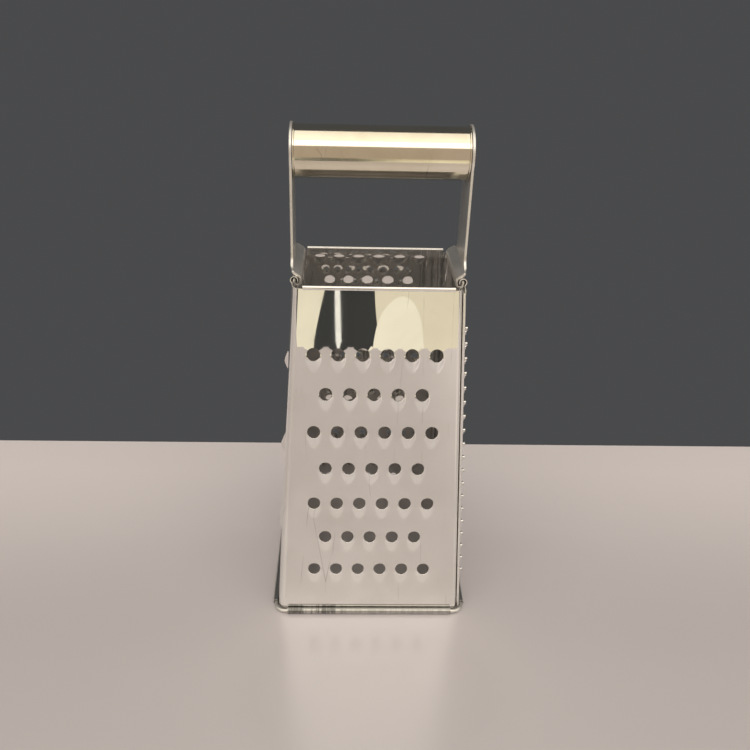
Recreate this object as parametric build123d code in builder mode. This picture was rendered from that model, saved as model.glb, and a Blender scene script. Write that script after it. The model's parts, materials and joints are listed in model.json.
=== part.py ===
from build123d import *
from math import atan, cos, degrees, radians, sin, sqrt
import os

os.makedirs("parts", exist_ok=True)

# A four-sided box grater: two bent sheets locked together at two corners, a wire ring in the rolled foot,
# and a tube grip on hooked straps.
# Millimetres. The origin is at the middle of the foot, on the table. +Z is up, and the coarse face is at -Y.

# Body: sizes over the walls' outer faces
body_height = 170.0         # table to the top of the rim
rim_width = 72.0            # left wall to right wall, at the rim's height
rim_depth = 47.0            # front wall to back wall, at the rim's height
wall_spread = 9.0           # how far each wall leans out between the rim and the table
sheet = 0.4                 # thickness of the body sheets
corner_radius = 4.0         # outer radius of a plain corner bend
seam_corner_radius = 2.0    # outer radius of the corner bend beside a seam
corner_relief = 4.7         # bare corner beside each rolled or hooked edge
corner_drop = 1.8           # how far a bare corner stops below the rim, and above the table
overrun = 5.0               # how far cutting tools run past what they cut
lap = 1.0                   # how far an edge strip runs into its wall
nearly = 0.01               # two sizes this close are the same one

# Lock seam, in plan: the front sheet's hook lies in the side sheet's fold
lock_play = 0.05            # between the layers of the seam
lock_gap = 0.35             # open line beside the fold, seen from the front
seam_depth = 6.4            # from the wall beside the seam to the turn of the hook
fold_nose = 1.4             # from that wall to the nose of the fold
seam_drop = 3.4             # how far the inner layers stop below the rim, clear of the strap's curl

# Rolled edges
rim_roll = 2.0              # outside diameter of the roll on the rim
rim_sweep = 290.0           # degrees that the rim's roll goes round
foot_roll = 3.1             # outside diameter of the roll round the foot
foot_sweep = 300.0          # degrees that the foot's roll goes round
foot_press = 0.08           # how much of the foot's roll is pressed flat, to stand on
wire = 1.7                  # diameter of the wire ring that the foot is rolled round, bare at the corners
wire_play = 0.05            # between the wire and the roll under it
wire_bend = 4.9             # middle of the wire round a corner

# Coarse face
coarse_pitch = 10.5         # between holes in a row
coarse_rows = 7
coarse_columns = 6          # in the first row, and one fewer in each second row
coarse_row_pitch = 18.8
coarse_first_row = 30.9     # below the rim, along the wall
coarse_hole = 5.7           # diameter
coarse_lip = 1.2            # how far a lip stands out
coarse_lip_width = 9.2      # where a lip rises from the wall
coarse_shift = -0.8         # how far the pattern sits off the middle

# Fine face, on the back
fine_pitch = 7.0
fine_rows = 13
fine_columns = 8
fine_row_pitch = 9.4
fine_first_row = 29.0
fine_hole = 3.0
fine_lip = 1.1
fine_lip_width = 5.4

# Slicing face, on the left
blade_count = 3
blade_pitch = 44.0
blade_first = 39.0          # rim to the first cutting edge, along the wall
blade_width = 30.0          # length of the cutting edge
blade_foot_width = 36.0     # the raised form, where it leaves the wall
blade_rise = 2.3            # how far the cutting edge stands out
blade_run_in = 10.0         # slope above the edge
blade_run_out = 4.5         # slope below the edge
blade_slot = 0.9            # height of the slot under the edge
blade_land = 0.4            # flat along the top of the raised form

# Rasp face, on the right
burr_pitch = 6.4            # across, between burrs in a row
burr_rows = 37
burr_columns = 6
burr_row_pitch = 3.55
burr_first_row = 21.0
burr_rise = 1.0             # how far a burr's points stand out
burr_foot = 2.0             # side of the burr where it leaves the wall
burr_tip = 1.1              # side of the burr at its points
burr_mouth = 1.5            # diagonal of its hole

# Straps
strap = 1.0                 # thickness
strap_overhang = 0.75       # how far a strap's outer face stands out past the rim
strap_foot_width = 36.0
strap_waist = 22.0
cheek_radius = 11.6         # round top of the strap, beside the grip
flare_radius = 5.5          # inside curve from the waist out to the foot
ear_radius = 1.2            # rounded corner of the foot
shoulder_angle = 32.3       # degrees that the shoulder rises outwards over the wall's hook
shoulder_radius = 2.0       # bends at both ends of the shoulder
cup_depth = 6.0             # how far the cup pressed in the cheek enters the grip
cup_wall = 0.9
cup_bend = 0.7              # rounding of the cup's floor and mouth

# Hooked joint between a strap and a side wall
hook_radius = 1.5           # middle of the sheet in the wall's hook
hook_open = 45.0            # degrees below level where the hook leaves the wall
hook_tail = 1.0             # straight end of the hook
hook_play = 0.12            # strap's shoulder over the hook
curl_play = 0.4             # strap's curl beside the hook's tail
curl_drop = 1.2             # how far the curl's centre lies below the hook's
curl_tail = 1.6             # straight end of the curl

# Grip
grip_rise = 48.8            # rim to the grip's axis
grip_radius = 10.7
grip_wall = 0.5
grip_flange_radius = 11.3   # turned-out ends
grip_flange_bend = 0.6
grip_play = 0.05            # round the straps' cups
grip_end_play = 0.3         # between an end and its strap
grip_slit = 0.3             # open seam along the underside

# Worked-out sizes
lean = atan(wall_spread / body_height)
lean_degrees = degrees(lean)
wall_cut = sheet / cos(lean)                    # thickness of a leaning wall, measured level
wall_top = body_height - corner_drop
wall_bottom = corner_drop
rim_length = rim_width - 2 * corner_relief
hook_length = rim_depth - 2 * corner_relief
front_foot_length = rim_width + 2 * wall_spread - 2 * corner_relief
side_foot_length = rim_depth + 2 * wall_spread - 2 * corner_relief
strap_span = rim_width + 2 * strap_overhang     # over the outer faces of the two straps
hook_across = strap_span / 2 - hook_radius - sheet / 2      # hook's centre, from the middle of the grater
rim_centre = body_height - rim_roll / 2
foot_centre = foot_roll / 2 - foot_press
wire_height = foot_centre - foot_roll / 2 + sheet + wire_play + wire / 2
root = sheet / 2            # how deep a raised form is rooted in its wall
grip_height = body_height + grip_rise
grip_bore = grip_radius - grip_wall


# Half of an outer size at some height, from the same size at the rim
def half_size(rim_size, height):
    return rim_size / 2 + wall_spread * (body_height - height) / body_height


# Middle of a leaning wall's sheet at some height
def wall_middle(rim_size, height):
    return half_size(rim_size, height) - wall_cut / 2


# Plan of the sheet that makes the front and left walls: hook, tongue, front wall, left wall and fold
def sheet_plan(height):
    side = half_size(rim_width, height)
    front = half_size(rim_depth, height)
    fold_width = 2 * wall_cut + 2 * lock_play
    wall = wall_cut / 2
    fold = wall + fold_width
    hook = wall + wall_cut + lock_play
    tongue = fold + wall_cut + lock_gap
    fold_turn = fold_nose + (fold_width + wall_cut) / 2
    with BuildSketch(Plane.XY.offset(height)) as plan:
        with BuildLine():
            turn = -front + seam_depth
            Line((side - hook, -front + fold_turn + sheet), (side - hook, turn))
            TangentArc((side - hook, turn), (side - tongue, turn), tangent=(0, 1))
            FilletPolyline(
                (side - tongue, turn),
                (side - tongue, -front + wall),
                (-side + wall, -front + wall),
                (-side + wall, front - fold_turn),
                radius=[seam_corner_radius - wall, corner_radius - wall],
            )
            TangentArc((-side + wall, front - fold_turn), (-side + fold, front - fold_turn), tangent=(0, 1))
            Line((-side + fold, front - fold_turn), (-side + fold, front - seam_depth + sheet))
        trace(line_width=wall_cut)
    return plan.sketch


# Middle of the foot's roll, from the middle of the grater
def foot_across(rim_size):
    return wall_middle(rim_size, foot_centre) + (foot_roll - sheet) / 2 / cos(lean)


# Upright planes in which an edge strip is drawn: x runs outwards from the middle, y runs up
front_edge = Plane(origin=(0, 0, 0), x_dir=(0, -1, 0), z_dir=(-1, 0, 0))
left_edge = Plane(origin=(0, 0, 0), x_dir=(-1, 0, 0), z_dir=(0, 1, 0))


# Section of a wall's end that rolls outwards: over the top at the rim, under the bottom at the foot
def rolled_edge(plane, rim_size, centre_height, roll, sweep, start_height):
    radius = roll / 2 - sheet / 2
    centre = wall_middle(rim_size, centre_height) + radius / cos(lean)
    touch = (centre - radius * cos(lean), centre_height - radius * sin(lean))
    with BuildSketch(plane) as section:
        with BuildLine():
            Line((wall_middle(rim_size, start_height), start_height), touch)
            CenterArc((centre, centre_height), radius, 180 + lean_degrees, sweep)
        trace(line_width=sheet)
    return section.sketch


# Section of a side wall's top, bent over into a hook that opens down and inwards
def hooked_edge(plane):
    turn = radians(hook_open)
    leave = (hook_across + hook_radius * cos(turn), body_height - hook_radius * sin(turn))
    inner = hook_across - hook_radius
    start_height = wall_top - lap
    with BuildSketch(plane) as section:
        with BuildLine():
            Polyline(
                (wall_middle(rim_width, start_height), start_height),
                (wall_middle(rim_width, wall_top), wall_top),
                leave,
            )
            CenterArc((hook_across, body_height), hook_radius, -hook_open, 180 + hook_open)
            Line((inner, body_height), (inner, body_height - hook_tail))
        trace(line_width=sheet)
    return section.sketch


# Planes on the walls' outer faces, at the rim: x runs level, y runs up the slope
front_wall = Plane(origin=(0, -rim_depth / 2, body_height), x_dir=(1, 0, 0), z_dir=(0, -cos(lean), sin(lean)))
left_wall = Plane(origin=(-rim_width / 2, 0, body_height), x_dir=(0, -1, 0), z_dir=(-cos(lean), 0, sin(lean)))
back_wall = Plane(origin=(0, rim_depth / 2, body_height), x_dir=(-1, 0, 0), z_dir=(0, cos(lean), sin(lean)))
right_wall = Plane(origin=(rim_width / 2, 0, body_height), x_dir=(0, 1, 0), z_dir=(cos(lean), 0, sin(lean)))


# Places of a staggered pattern on a wall plane, rows running down from the rim
def staggered(rows, columns, pitch, row_pitch, first_row, shift=0):
    places = []
    for row in range(rows):
        count = columns - row % 2
        for column in range(count):
            across = (column - (count - 1) / 2) * pitch + shift
            places.append((across, -first_row - row * row_pitch))
    return places


# One bent sheet before it is punched
seam_layers = 3 * wall_cut + 2 * lock_play + lock_gap + overrun
with BuildPart() as blank:
    loft(sections=[sheet_plan(wall_bottom), sheet_plan(wall_top)], ruled=True)
    # The seam's inner layers stop short of the rim, at both ends of the sheet
    with BuildSketch(right_wall):
        with Locations((-rim_depth / 2 + seam_corner_radius, -seam_drop)):
            Rectangle(seam_depth + sheet, seam_drop + overrun, align=(Align.MIN, Align.MIN))
    extrude(amount=-seam_layers, mode=Mode.SUBTRACT)
    with BuildSketch(left_wall.offset(-sheet)):
        with Locations((-rim_depth / 2, -seam_drop)):
            Rectangle(seam_depth + sheet, seam_drop + overrun, align=(Align.MIN, Align.MIN))
    extrude(amount=-seam_layers, mode=Mode.SUBTRACT)
    # Rim, hook and foot
    rim = rolled_edge(front_edge, rim_depth, rim_centre, rim_roll, -rim_sweep, wall_top - lap)
    extrude(rim, amount=rim_length / 2, both=True)
    extrude(hooked_edge(left_edge), amount=hook_length / 2, both=True)
    front_foot = rolled_edge(front_edge, rim_depth, foot_centre, foot_roll, foot_sweep, wall_bottom + lap)
    extrude(front_foot, amount=front_foot_length / 2, both=True)
    side_foot = rolled_edge(left_edge, rim_width, foot_centre, foot_roll, foot_sweep, wall_bottom + lap)
    extrude(side_foot, amount=side_foot_length / 2, both=True)
    # The table side of the foot's roll is pressed flat
    split(bisect_by=Plane.XY, keep=Keep.TOP)


# Domed lip of a round tooth: the cap of a ball, rising from the wall's face
def lip_cap(width, rise):
    ball = (width ** 2 / 4 + rise ** 2) / (2 * rise)
    with BuildPart() as cap:
        with Locations((0, 0, rise - ball)):
            Sphere(ball)
        split(bisect_by=Plane.XY.offset(-root), keep=Keep.TOP)
    return cap.part


# Raised form of a slicing blade: two slopes that meet along the cutting edge, with sloping ends
with BuildPart() as blade_form:
    with BuildSketch(Plane.XY.offset(-root)):
        with Locations((0, (blade_run_in - blade_run_out) / 2)):
            Rectangle(blade_foot_width, blade_run_in + blade_run_out)
    with BuildSketch(Plane.XY.offset(blade_rise)):
        Rectangle(blade_width, blade_land)
    loft(ruled=True)

# Burr: a square spike, and the turned square hole that splits it into four points
burr_length = root + burr_rise
with BuildPart() as burr_spike:
    with BuildSketch(Plane.XY.offset(-root)):
        Rectangle(burr_foot, burr_foot)
    extrude(amount=burr_length, taper=degrees(atan((burr_foot - burr_tip) / 2 / burr_length)))
with BuildPart() as burr_hole:
    with BuildSketch():
        Rectangle(burr_mouth / sqrt(2), burr_mouth / sqrt(2), rotation=45)
    extrude(amount=burr_rise + sheet, both=True)

coarse_cap = lip_cap(coarse_lip_width, coarse_lip)
fine_cap = lip_cap(fine_lip_width, fine_lip)
inward = Pos(0, 0, -sheet)

# Front and left walls: coarse teeth and slicing blades
coarse_places = staggered(
    coarse_rows, coarse_columns, coarse_pitch, coarse_row_pitch, coarse_first_row, coarse_shift
)
coarse_lip_drop = coarse_hole / 2 + sheet       # lip's crown, below the hole's centre
blade_places = [(0, -blade_first - number * blade_pitch) for number in range(blade_count)]
with BuildPart() as front_left_sheet:
    add(blank.part)
    with Locations(front_wall):
        with Locations(*[(x, y - coarse_lip_drop) for x, y in coarse_places]):
            add(coarse_cap)
            add(inward * coarse_cap, mode=Mode.SUBTRACT)
        with Locations(*coarse_places):
            Cylinder(coarse_hole / 2, 2 * overrun, mode=Mode.SUBTRACT)
    with Locations(left_wall):
        with Locations(*blade_places):
            add(blade_form.part)
            add(inward * blade_form.part, mode=Mode.SUBTRACT)
        with Locations(*[(x, y - blade_slot / 2) for x, y in blade_places]):
            Box(blade_width, blade_slot, 2 * overrun, mode=Mode.SUBTRACT)
front_left_sheet.part.label = "front_left_sheet"
export_step(front_left_sheet.part, "parts/front_left_sheet.step")

# Back and right walls: fine teeth and rasp burrs
fine_places = staggered(fine_rows, fine_columns, fine_pitch, fine_row_pitch, fine_first_row)
fine_lip_drop = fine_hole / 2 + sheet
burr_places = staggered(burr_rows, burr_columns, burr_pitch, burr_row_pitch, burr_first_row)
with BuildPart() as rear_right_sheet:
    add(blank.part, rotation=(0, 0, 180))
    with Locations(back_wall):
        with Locations(*[(x, y - fine_lip_drop) for x, y in fine_places]):
            add(fine_cap)
            add(inward * fine_cap, mode=Mode.SUBTRACT)
        with Locations(*fine_places):
            Cylinder(fine_hole / 2, 2 * overrun, mode=Mode.SUBTRACT)
    with Locations(right_wall):
        with Locations(*burr_places):
            add(burr_spike.part, clean=False)
            add(burr_hole.part, mode=Mode.SUBTRACT, clean=False)
rear_right_sheet.part.label = "rear_right_sheet"
export_step(rear_right_sheet.part, "parts/rear_right_sheet.step")

# Wire ring in the foot's rolls
wire_side = foot_across(rim_width)
wire_front = foot_across(rim_depth)
with BuildPart() as foot_wire:
    with BuildLine(Plane.XY.offset(wire_height)) as ring:
        FilletPolyline(
            (-wire_side, -wire_front),
            (wire_side, -wire_front),
            (wire_side, wire_front),
            (-wire_side, wire_front),
            radius=wire_bend,
            close=True,
        )
    with BuildSketch(Plane(origin=ring.line @ 0, z_dir=ring.line % 0)):
        Circle(wire / 2)
    sweep()
foot_wire.part.label = "foot_wire"
export_step(foot_wire.part, "parts/foot_wire.step")


# Height of the shoulder's middle line, which passes over the wall's hook with a little play
def shoulder_height(across):
    clear = hook_radius + sheet / 2 + hook_play + strap / 2
    slope = radians(shoulder_angle)
    return body_height + (clear + (across - hook_across) * sin(slope)) / cos(slope)


# Strap: a leg that turns in over the wall's hook, down, under and up inside it
leg_across = strap_span / 2 - strap / 2
curl_radius = (hook_radius + sheet / 2 + strap / 2 + curl_play) / 2
tuck_across = hook_across - 2 * curl_radius
curl_height = body_height - curl_drop
cheek_inner = strap_span / 2 - strap
cup_radius = grip_bore - grip_play
foot_top = shoulder_height(leg_across)
with BuildPart() as right_strap:
    with BuildSketch(Plane.XZ):
        with BuildLine():
            FilletPolyline(
                (leg_across, grip_height + cheek_radius),
                (leg_across, foot_top),
                (tuck_across, shoulder_height(tuck_across)),
                (tuck_across, curl_height),
                radius=shoulder_radius,
            )
            CenterArc((tuck_across + curl_radius, curl_height), curl_radius, 180, 180)
            Line((hook_across, curl_height), (hook_across, curl_height + curl_tail))
        trace(line_width=strap)
    extrude(amount=strap_foot_width / 2, both=True)
    with BuildSketch(Plane.YZ) as side_outline:
        with Locations((0, grip_height)):
            Circle(cheek_radius)
        with Locations((0, grip_height)):
            Rectangle(strap_waist, grip_height - foot_top, align=(Align.CENTER, Align.MAX))
        with Locations((0, foot_top)):
            Rectangle(strap_foot_width, foot_top - curl_height + overrun, align=(Align.CENTER, Align.MAX))
        corners = side_outline.vertices().filter_by(lambda v: abs(v.Y - foot_top) < nearly)
        fillet(corners.sort_by(Axis.X)[1:-1], flare_radius)
        corners = side_outline.vertices().filter_by(lambda v: abs(v.Y - foot_top) < nearly)
        ears = corners.sort_by(Axis.X)
        fillet([ears[0], ears[-1]], ear_radius)
    extrude(amount=strap_span, mode=Mode.INTERSECT)
    # Cup pressed in the cheek, on which the grip rides
    with BuildSketch(Plane.YZ.offset(cheek_inner)):
        with Locations((0, grip_height)):
            Circle(cup_radius)
    extrude(amount=-cup_depth)
    with BuildSketch(Plane.YZ.offset(strap_span / 2)):
        with Locations((0, grip_height)):
            Circle(cup_radius - cup_wall)
    extrude(amount=-strap - cup_depth + cup_wall, mode=Mode.SUBTRACT)
    rounds = right_strap.edges().filter_by(GeomType.CIRCLE).filter_by(
        lambda e: min(abs(e.radius - cup_radius), abs(e.radius - cup_radius + cup_wall)) < nearly
    )
    fillet([rounds.sort_by(Axis.X)[0], rounds.sort_by(Axis.X)[-1]], cup_bend)
right_strap.part.label = "right_strap"
export_step(right_strap.part, "parts/right_strap.step")

with BuildPart() as left_strap:
    add(mirror(right_strap.part, about=Plane.YZ))
left_strap.part.label = "left_strap"
export_step(left_strap.part, "parts/left_strap.step")

# Grip: a rolled tube with turned-out ends and an open seam underneath
grip_axis = Axis((0, 0, grip_height), (1, 0, 0))
grip_middle = grip_height + grip_radius - grip_wall / 2
grip_end = cheek_inner - grip_end_play - grip_wall / 2
with BuildPart() as grip_tube:
    with BuildSketch(Plane.XZ):
        with BuildLine():
            FilletPolyline(
                (-grip_end, grip_height + grip_flange_radius),
                (-grip_end, grip_middle),
                (grip_end, grip_middle),
                (grip_end, grip_height + grip_flange_radius),
                radius=grip_flange_bend,
            )
        trace(line_width=grip_wall)
    revolve(axis=grip_axis)
    with BuildSketch(Plane.XY.offset(grip_height)):
        Rectangle(strap_span, grip_slit)
    extrude(amount=-grip_flange_radius - overrun, mode=Mode.SUBTRACT)
grip_tube.part.label = "grip_tube"
export_step(grip_tube.part, "parts/grip_tube.step")
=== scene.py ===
import json
import math
from functools import partial

import bmesh
import bpy
from mathutils import Matrix, Vector
from mathutils.geometry import delaunay_2d_cdt

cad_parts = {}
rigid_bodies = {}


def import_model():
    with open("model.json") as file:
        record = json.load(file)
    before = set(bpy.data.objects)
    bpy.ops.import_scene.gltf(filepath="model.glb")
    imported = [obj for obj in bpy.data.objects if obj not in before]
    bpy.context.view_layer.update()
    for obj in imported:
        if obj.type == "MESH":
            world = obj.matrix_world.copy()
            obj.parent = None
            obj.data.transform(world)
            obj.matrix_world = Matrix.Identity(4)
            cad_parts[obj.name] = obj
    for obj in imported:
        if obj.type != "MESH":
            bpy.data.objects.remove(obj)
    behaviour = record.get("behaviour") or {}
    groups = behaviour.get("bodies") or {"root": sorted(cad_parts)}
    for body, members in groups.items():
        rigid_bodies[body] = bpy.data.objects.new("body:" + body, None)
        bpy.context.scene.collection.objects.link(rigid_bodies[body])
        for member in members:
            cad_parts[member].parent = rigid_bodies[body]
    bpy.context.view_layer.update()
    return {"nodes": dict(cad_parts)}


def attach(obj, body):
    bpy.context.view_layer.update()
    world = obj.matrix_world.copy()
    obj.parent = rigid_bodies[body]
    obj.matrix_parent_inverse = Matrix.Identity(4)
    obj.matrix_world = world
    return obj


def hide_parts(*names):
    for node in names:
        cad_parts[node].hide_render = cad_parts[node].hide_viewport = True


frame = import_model()
scene = bpy.context.scene
mm = 0.001        # the lists below are in millimetres
mergeGap = 0.004

print("body: sizes shared by both sheets")
box = {
    "height": 170.0,
    "rimWidth": 72.0,
    "rimDepth": 47.0,
    "spread": 9.0,          # how far each wall leans out by the table
    "sheet": 0.4,
    "cornerRadius": 4.0,
    "seamRadius": 2.0,
    "relief": 4.7,          # bare corner beside each rolled edge
    "drop": 1.8,            # bare corner, below the rim and above the table
    "levels": 24,
    "bendSteps": 10,
}
seam = {
    "play": 0.05,
    "gap": 0.35,            # open line seen beside the fold
    "depth": 6.4,
    "nose": 1.4,
    "drop": 3.4,
    "steps": 8,
}
rolls = {
    "rimSize": 2.0,
    "rimSweep": -290.0,
    "footSize": 3.1,
    "footSweep": 300.0,
    "footPress": 0.08,
    "steps": 28,
}
hook = {
    "radius": 1.5,
    "open": 45.0,
    "tail": 1.0,
    "across": 35.05,        # its centre, from the middle of the grater
    "steps": 22,
}

lean = math.atan(box["spread"] / box["height"])
wallCut = box["sheet"] / math.cos(lean)
halfCut = wallCut / 2
wallTop = box["height"] - box["drop"]
wallBottom = box["drop"]
seamTop = box["height"] - seam["drop"]
foldWidth = 2 * wallCut + 2 * seam["play"]
foldAt = halfCut + foldWidth
hookAt = halfCut + wallCut + seam["play"]
tongueAt = foldAt + wallCut + seam["gap"]
foldTurn = seam["nose"] + (foldWidth + wallCut) / 2
cornerBend = box["cornerRadius"] - halfCut
seamBend = box["seamRadius"] - halfCut


def halfSize(rimSize, z):
    return rimSize / 2 + box["spread"] * (box["height"] - z) / box["height"]


def halfSizes(z):
    return halfSize(box["rimWidth"], z), halfSize(box["rimDepth"], z)


def arc(centre, radius, start, sweep, steps):
    turns = [math.radians(start + sweep * i / steps) for i in range(steps + 1)]
    return [(centre[0] + radius * math.cos(t), centre[1] + radius * math.sin(t)) for t in turns]


def roundedLine(corners, radius, steps):
    line = [Vector(corners[0])]
    for before, corner, after in zip(corners, corners[1:], corners[2:]):
        corner = Vector(corner)
        toBefore = (Vector(before) - corner).normalized()
        toAfter = (Vector(after) - corner).normalized()
        half = toBefore.angle(toAfter) / 2
        bisector = (toBefore + toAfter).normalized()
        centre = corner + bisector * radius / math.sin(half)
        first = corner + toBefore * radius / math.tan(half) - centre
        last = corner + toAfter * radius / math.tan(half) - centre
        turn = first.angle(last)
        for i in range(steps + 1):
            t = i / steps
            along = first * math.sin((1 - t) * turn) + last * math.sin(t * turn)
            line.append(centre + along / math.sin(turn))
    return line + [Vector(corners[-1])]


# A shape in the making: points in millimetres, and faces
def addGrid(shape, rows):
    start = len(shape["points"])
    count = len(rows[0])
    for row in rows:
        shape["points"] += [Vector(p) for p in row]
    for r in range(len(rows) - 1):
        for c in range(count - 1):
            a = start + r * count + c
            shape["faces"].append((a, a + 1, a + count + 1, a + count))


def ringEdges(count, first=0):
    return [(first + i, first + (i + 1) % count) for i in range(count)]


# Flat sheet between given edges, where the test wants it
def addFlat(shape, points, edges, placeOf, wanted):
    flat, _, triangles, _, _, _ = delaunay_2d_cdt(points, edges, [], 1, 0.0005)
    base = len(shape["points"])
    shape["points"] += [placeOf(p) for p in flat]
    for triangle in triangles:
        if wanted(sum((flat[i] for i in triangle), Vector((0, 0))) / len(triangle)):
            shape["faces"].append(tuple(base + i for i in triangle))


def mergedMesh(shape):
    build = bmesh.new()
    verts = [build.verts.new(p) for p in shape["points"]]
    for face in shape["faces"]:
        corners = [verts[i] for i in face]
        if build.faces.get(corners) is None:
            build.faces.new(corners)
    bmesh.ops.remove_doubles(build, verts=build.verts, dist=mergeGap)
    bmesh.ops.dissolve_degenerate(build, edges=build.edges, dist=0.001)
    loose = [v for v in build.verts if not v.link_faces]
    bmesh.ops.delete(build, geom=loose, context="VERTS")
    bmesh.ops.recalc_face_normals(build, faces=build.faces)
    build.verts.index_update()
    build.normal_update()
    return build


pieces = {}        # by the node that each one replaces


def addPiece(name, mesh, body, replaced):
    piece = bpy.data.objects.new(name, mesh)
    scene.collection.objects.link(piece)
    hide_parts(replaced)
    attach(piece, body)
    pieces[replaced] = piece
    print("  ", name, len(mesh.polygons), "faces")


rimRounding = 0.5        # how far a cut edge's shading leans to the faces beside it


# Gives a middle surface its thickness. The flats are (point, normal) of walls that stay quite flat
def shellMesh(name, shape, thickness, flats, turn=0.0):
    build = mergedMesh(shape)
    normals = []
    for vert in build.verts:
        normal = vert.normal.copy()
        for place, out in flats:
            if abs((vert.co - place).dot(out)) < 0.002 and abs(normal.dot(out)) > 0.8:
                normal = out if normal.dot(out) > 0 else -out
        normals.append(normal)
    count = len(build.verts)
    points = [v.co + n * thickness / 2 for v, n in zip(build.verts, normals)]
    points += [v.co - n * thickness / 2 for v, n in zip(build.verts, normals)]
    faces, corners = [], []
    for face in build.faces:
        ring = [v.index for v in face.verts]
        faces.append(ring)
        corners += [normals[i] for i in ring]
        faces.append([i + count for i in reversed(ring)])
        corners += [-normals[i] for i in reversed(ring)]
    for edge in build.edges:
        if len(edge.link_faces) == 1:
            loop = edge.link_loops[0]
            a, b = loop.vert.index, loop.link_loop_next.vert.index
            side = (points[b] - points[a]).cross(normals[a]).normalized()
            faces.append([b, a, a + count, b + count])
            for i, way in ((b, 1), (a, 1), (a, -1), (b, -1)):
                corners.append((side + normals[i] * way * rimRounding).normalized())
    build.free()
    spin = Matrix.Rotation(math.radians(turn), 3, "Z")
    mesh = bpy.data.meshes.new(name)
    # the foot is pressed flat on the table
    mesh.from_pydata([spin @ Vector((p.x, p.y, max(p.z, 0.0))) * mm for p in points], [], faces)
    mesh.shade_smooth()
    mesh.normals_split_custom_set([spin @ n for n in corners])
    return mesh


print("punches: one tile for each kind of tooth")
coarse = {
    "pitch": 10.5, "rowPitch": 18.8, "rows": 7, "columns": 6, "firstRow": 30.9, "shift": -0.8, "fan": 0.0,
    "tile": (10.5, 18.8),
    "hole": 5.7, "rise": 1.1, "lipHalfWidth": 3.25, "lipLength": 6.1, "lipFade": (0.4, 2.0), "lipSoft": 0.06,
    "pillow": 0.03, "pillowSpread": 3.0, "across": 12, "down": 20, "rings": 13, "crowding": 1.15,
}
fine = {
    "pitch": 7.0, "rowPitch": 9.4, "rows": 13, "columns": 8, "firstRow": 29.0, "shift": 0.0, "fan": 0.0,
    "tile": (7.0, 9.4),
    "hole": 3.0, "rise": 0.9, "lipHalfWidth": 1.8, "lipLength": 2.9, "lipFade": (0.2, 1.0), "lipSoft": 0.06,
    "pillow": 0.02, "pillowSpread": 1.8, "across": 6, "down": 8, "rings": 7, "crowding": 1.15,
}
burr = {
    "pitch": 7.5, "rowPitch": 3.55, "rows": 37, "columns": 6, "firstRow": 21.0, "shift": 0.0,
    "fan": 0.0028, "tile": (4.4, 3.1),      # fan: how much wider a row is for each mm down the wall
    "rise": 1.7, "valley": 0.4, "tipRadius": 0.62, "valleyRadius": 0.74,
    "shoulders": [(0.86, 0.6), (1.02, 0.24), (1.4, 0.0)],        # radius, share of the height
    "across": 8, "down": 4,
}
blade = {
    "pitch": 0.0, "rowPitch": 44.0, "rows": 3, "columns": 1, "firstRow": 39.0, "shift": 0.0, "fan": 0.0,
    "halfWidth": 15.0, "halfFoot": 18.0, "rise": 2.3, "runIn": 10.0, "runOut": 4.5, "slot": 0.9,
    "edgeMargin": 1.5, "rounding": 0.45,
}


def tileBorder(values):
    width, height = values["tile"]
    across, down = values["across"], values["down"]
    points = [(-width / 2 + width * i / across, -height / 2) for i in range(across)]
    points += [(width / 2, -height / 2 + height * i / down) for i in range(down)]
    points += [(width / 2 - width * i / across, height / 2) for i in range(across)]
    points += [(-width / 2, height / 2 - height * i / down) for i in range(down)]
    return points


def tileObject(name, points, faces):
    mesh = bpy.data.meshes.new(name)
    mesh.from_pydata(points, [], faces)
    tile = bpy.data.objects.new(name, mesh)
    scene.collection.objects.link(tile)
    return tile


def ringTile(name, rings):
    count = len(rings[0])
    points = [p for ring in rings for p in ring]
    faces = []
    for r in range(len(rings) - 1):
        for k in range(count):
            n = (k + 1) % count
            faces.append((r * count + k, r * count + n, (r + 1) * count + n, (r + 1) * count + k))
    return tileObject(name, points, faces)


# A round hole whose lower edge is raised in a tongue that slopes down to the wall
def toothTile(name, values):
    radius = values["hole"] / 2
    fadeTop, fadeBottom = values["lipFade"]
    soft = values["lipSoft"]

    def lift(x, y):
        along = max(0.0, (-radius - y) / values["lipLength"])
        form = values["rise"] * (1 - along - (x / values["lipHalfWidth"]) ** 2)
        tongue = max(form, 0.0) if abs(form) > soft else (form + soft) ** 2 / (4 * soft)
        fade = min(1.0, max(0.0, (fadeTop - y) / (fadeTop + fadeBottom)))
        nearX, nearY = 1 - (2 * x / values["pitch"]) ** 2, 1 - (2 * y / values["rowPitch"]) ** 2
        pillow = values["pillow"] * math.exp(-(y / values["pillowSpread"]) ** 2 / 2) * (nearX * nearY) ** 2
        return tongue * fade * fade * (3 - 2 * fade) + pillow

    rings = []
    border = tileBorder(values)
    for ring in range(values["rings"] + 1):
        share = (ring / values["rings"]) ** values["crowding"]
        row = []
        for k, (x, y) in enumerate(border):
            angle = math.tau * (k - values["across"] / 2) / len(border) - math.pi / 2
            rimX, rimY = radius * math.cos(angle), radius * math.sin(angle)
            px, py = rimX + (x - rimX) * share, rimY + (y - rimY) * share
            row.append((px, py, lift(px, py)))
        rings.append(row)
    return ringTile(name, rings)


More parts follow.
